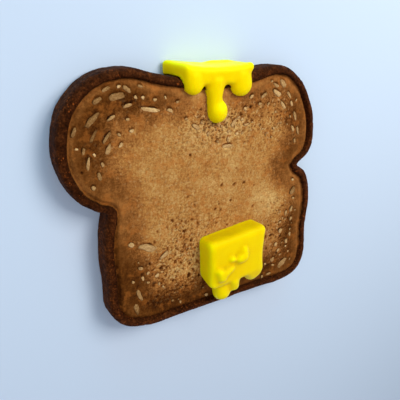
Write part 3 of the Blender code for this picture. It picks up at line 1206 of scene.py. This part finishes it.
@dataclass
class OatFlakes:
    """All oat pieces in the crumb, as one piece of small closed bodies."""

    thickness: float = 0.36
    most_thick: float = 0.75
    sunk: float = 0.00010
    browned_edge: float = 0.34
    least_gap: float = 0.6
    clear_of_crust: float = 0.0016
    seed: int = 5

    def plan(self, border: Border) -> list[Flake]:
        """Lists the placed flakes and scatters small chips between them.

        Args:
            border: the line where the crumb meets the crust.

        Returns:
            All flakes that lie clear of the crust.
        """
        pick = np.random.RandomState(self.seed)
        flakes = list(PLACED_FLAKES)
        for x, y in PLACED_CHIPS:
            flakes.append(PLACED_RANGE.make(pick, x, y, pick.uniform(*PLACED_RANGE.length)))
        for middle_x, middle_y, across, along, count in CHIP_ZONES:
            for _ in range(count):
                x = middle_x + across * pick.uniform(-1, 1)
                y = middle_y + along * pick.uniform(-1, 1)
                length = pick.uniform(*STRAY_RANGE.length)
                room = [other.room(x, y, length) for other in flakes]
                if min(room) > self.least_gap:
                    flakes.append(STRAY_RANGE.make(pick, x, y, length))
        depths = border.depth(self.places(flakes))
        return [flake for flake, depth in zip(flakes, depths) if depth > self.clear_of_crust]

    @staticmethod
    def places(flakes: list[Flake]) -> Numbers:
        """Returns the flakes' places in metres."""
        return np.array([(flake.x * MM, flake.y * MM, 0.0) for flake in flakes])

    def build(self, flakes: list[Flake], bread: ToastSlice, finish: Material) -> Object:
        """Makes the flakes.

        Args:
            flakes: the flakes to make.
            bread: the slice's sizes, for the height of its crumb.
            finish: their material.

        Returns:
            The finished piece.
        """
        heights = bread.crumb_height + bread.wave(self.places(flakes))
        bm = bmesh.new()
        tone = bm.verts.layers.float.new("paleness")
        for flake, height in zip(flakes, heights):
            self.add(bm, flake, height, tone)
        bmesh.ops.recalc_face_normals(bm, faces=bm.faces)
        piece = new_piece("oat_flakes", bm)
        dress(piece, finish)
        return piece

    def add(self, bm: Skin, flake: Flake, height: float, tone: bmesh.types.BMLayerItem) -> None:
        """Adds one flake.

        Args:
            bm: the mesh of all flakes.
            flake: the flake to add.
            height: the height of the crumb under it.
            tone: the layer that holds how pale each point is.
        """
        fineness, least_thick = flake.kind.value
        verts = bmesh.ops.create_icosphere(bm, subdivisions=fineness, radius=1.0)["verts"]
        luck = Vector((flake.x * 1.7, flake.y * 2.3, flake.length))
        taper = 0.25 * math.sin(flake.x * 3.1 + flake.y)
        bend = 0.20 * math.sin(flake.y * 1.9)
        fade = 0.12 * math.cos(flake.x * 1.3)
        for vert in verts:
            along, across, up = vert.co
            rough = noise.noise(vert.co * 1.6 + luck)
            fine = noise.noise(vert.co * 4.0 + luck)
            size = 1 + 0.26 * rough + 0.12 * fine
            edge = self.browned_edge * (1 - max(0.0, up)) ** 2
            vert[tone] = flake.paleness - edge + fade * along + 0.22 * fine
            round_off = max(0.05, 1 - along * along) ** -0.22
            wide = across * size * round_off * (1 + taper * along) + bend * (along * along - 0.4)
            vert.co = Vector((along * size, wide, math.tanh(1.8 * up) * (1 + 0.5 * rough + 0.3 * fine)))
        thick = min(self.most_thick, max(least_thick, flake.width * self.thickness)) * MM
        shape = Matrix.Diagonal((flake.length * MM / 2, flake.width * MM / 2, thick / 2, 1.0))
        tilt = Matrix.Rotation(0.12 * math.sin(flake.x), 4, "X")
        tilt = tilt @ Matrix.Rotation(0.06 * math.cos(flake.y), 4, "Y")
        place = Matrix.Translation((flake.x * MM, flake.y * MM, height - self.sunk))
        turn = Matrix.Rotation(math.radians(flake.turn), 4, "Z")
        bmesh.ops.transform(bm, matrix=place @ turn @ tilt @ shape, verts=verts)


# --- The butter

@dataclass
class ButterPiece:
    """A softened piece of butter that has settled onto the slice."""

    name: str
    grain: float = 0.00036
    rounds: int = 5
    reach: float = 0.0012
    gap: float = 0.0003
    sink: float = 0.0005
    sag: float = 0.00010
    tint: float = 0.45
    ridge_rounds: int = 30
    full_ridge: float = 0.0004
    painted_ridge_light: float = 0.42
    cloud_tone: float = 0.06
    painted_far_side_light: float = 0.0
    painted_left_side_light: float = 0.0
    seed: float = 20.0

    def build(self, node: Object, bread: BVHTree, finish: Material) -> Object:
        """Makes the butter in place of its CAD solid.

        Args:
            node: the CAD solid.
            bread: the slice's smooth surface.
            finish: its material.

        Returns:
            The finished piece.
        """
        piece = new_piece(self.name, merged_copy(node))
        remesh(piece, self.grain, self.rounds)
        self.settle(piece.data, bread)
        self.mark(piece.data)
        dress(piece, finish)
        return piece

    def settle(self, mesh: Mesh, bread: BVHTree) -> None:
        """Lets the butter sag a little and closes the gap between it and the slice.

        Args:
            mesh: the butter's mesh.
            bread: the slice's smooth surface.
        """
        points, normals = rows_of(mesh, "co"), rows_of(mesh, "normal")
        points += normals * (self.sag * ripple(points, 0.007, 2, self.seed))[:, None]
        down = Vector((0.0, 0.0, -1.0))
        for index, point in enumerate(points):
            spot, _, _, away = bread.ray_cast(Vector(point), down, self.reach)
            if spot is not None and away > MERGE:
                near = min(1.0, (self.reach - away) / (self.reach - self.gap))
                points[index, 2] -= (self.gap + self.sink) * near * near * (3 - 2 * near)
        move_points(mesh, points)

    def mark(self, mesh: Mesh) -> None:
        """Stores how pale the butter is at each point, for its finish, with painted light and shade in it.

        Args:
            mesh: the butter's finished mesh.
        """
        ridge = np.clip(relief(mesh, self.ridge_rounds) / self.full_ridge, -1.0, 1.2)
        cloud = ripple(rows_of(mesh, "co"), 0.01, 2, self.seed + 1)
        # Painted highlight on ridges and painted shade in hollows, over a random cloudy tone.
        tone = self.tint + self.painted_ridge_light * ridge + self.cloud_tone * cloud
        normals = rows_of(mesh, "normal")
        # Painted light and shade: faces towards the left or the far side are made lighter or darker.
        tone += self.painted_left_side_light * np.maximum(-normals[:, 0], 0.0)
        tone += self.painted_far_side_light * np.maximum(normals[:, 1], 0.0)
        store(mesh, "swell", np.clip(tone, 0.0, 1.0))


# --- The stage

@dataclass(frozen=True)
class Lamp:
    """A square soft light that faces the toast, with its size in metres and its power in watts."""

    name: str
    place: Place
    size: float
    power: float
    color: str

    def hang(self) -> None:
        """Puts the light in the scene."""
        light = bpy.data.lights.new(self.name, "AREA")
        light.size = self.size
        light.energy = self.power
        light.color = paint(self.color)[:3]
        lamp = bpy.data.objects.new(self.name, light)
        lamp.location = self.place
        lamp.rotation_euler = (-Vector(self.place)).to_track_quat("-Z", "Y").to_euler()
        lamp.visible_camera = False
        bpy.context.scene.collection.objects.link(lamp)


@dataclass(frozen=True)
class Studio:
    """Floor, soft lights and camera."""

    floor_size: float = 3.0
    floor_depth: float = 0.0001
    floor_color: str = "#C6D5EA"
    sky_color: str = "#E2E7EE"
    sky_power: float = 0.45
    lamps: tuple[Lamp, ...] = (
        Lamp("key", (0.20, 0.28, 0.42), 0.30, 2.45, "#FFFAF0"),
        Lamp("fill", (-0.45, 0.10, 0.50), 0.60, 1.20, "#F6F8FF"),
        Lamp("cool_rim", (0.0, 0.80, 0.12), 0.50, 2.6, "#6CE8FF"))
    lens: float = 41.22
    sensor: float = 36.0
    distance: float = 0.2
    aim: Place = (-0.00476, -0.00058, 0.0102)
    sight: Place = (0.5197, -0.3591, -0.7752)
    upright: Place = (0.1747, 0.9329, -0.3149)

    def build(self) -> None:
        """Sets up the whole stage."""
        self.floor()
        self.sky()
        for lamp in self.lamps:
            lamp.hang()
        self.camera()
        bpy.context.scene.view_settings.view_transform = "Standard"

    def floor(self) -> None:
        """Lays the plain pale floor."""
        bm = bmesh.new()
        bmesh.ops.create_grid(bm, x_segments=1, y_segments=1, size=self.floor_size / 2)
        bmesh.ops.translate(bm, verts=bm.verts, vec=(0.0, 0.0, -self.floor_depth))
        constants = {"Base Color": paint(self.floor_color), "Roughness": 0.9, "Specular IOR Level": 0.1}
        floor = new_piece("floor", bm)
        floor.data.materials.append(new_finish("floor_paint", constants)[0])

    def sky(self) -> None:
        """Lights the room evenly from all sides."""
        world = bpy.data.worlds.new("room")
        world.use_nodes = True
        light = world.node_tree.nodes["Background"]
        light.inputs["Color"].default_value = paint(self.sky_color)
        light.inputs["Strength"].default_value = self.sky_power
        bpy.context.scene.world = world

    def camera(self) -> None:
        """Places the camera above the lying slice."""
        data = bpy.data.cameras.new("camera")
        data.lens = self.lens
        data.sensor_width = self.sensor
        data.clip_start = 0.01
        camera = bpy.data.objects.new("camera", data)
        ahead = Vector(self.sight).normalized()
        right = ahead.cross(Vector(self.upright)).normalized()
        turn = Matrix((right, right.cross(ahead), -ahead)).transposed().to_4x4()
        camera.matrix_world = Matrix.Translation(Vector(self.aim) - ahead * self.distance) @ turn
        bpy.context.scene.collection.objects.link(camera)
        bpy.context.scene.camera = camera


def report(piece: Object, *nodes: str) -> None:
    """Ties a piece to the toast's body and logs it.

    Args:
        piece: the finished piece.
        nodes: the CAD nodes that it stands for.
    """
    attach(piece, "root")
    if nodes:
        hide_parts(*nodes)
    log.info("%s: %d triangles", piece.name, sum(len(face.vertices) - 2 for face in piece.data.polygons))


def main() -> None:
    """Builds the toast, its flakes, its butter and the stage."""
    logging.basicConfig(level=logging.INFO, format="%(name)s %(message)s")
    patterns = Patterns()
    bread_finish = BreadFinish().make(patterns)
    flake_finish = FlakeFinish().make(patterns)
    butter_finish = ButterFinish().make(patterns)

    nodes = frame["nodes"]
    oats = OatFlakes()
    bread = ToastSlice()
    flakes = oats.plan(bread.measure(nodes["toast_slice"]))
    toast = bread.build(nodes["toast_slice"], flakes, bread_finish)
    report(toast, "toast_slice")
    grains = oats.build(flakes, bread, flake_finish)
    report(grains)

    smooth_slice = merged_copy(nodes["toast_slice"])
    surface = BVHTree.FromBMesh(smooth_slice)
    smooth_slice.free()
    # Painted light: the pat's far side is darker and its left side lighter; the edge butter's far side is
    # lighter.
    pieces = {"butter_pat": ButterPiece("soft_pat", tint=0.41, painted_far_side_light=-0.30, painted_left_side_light=0.30),
              "butter_on_edge": ButterPiece("soft_edge_butter", tint=0.42, painted_far_side_light=0.58)}
    for node, piece in pieces.items():
        butter = piece.build(nodes[node], surface, butter_finish)
        report(butter, node)

    Studio().build()


if __name__ == "__main__":
    main()
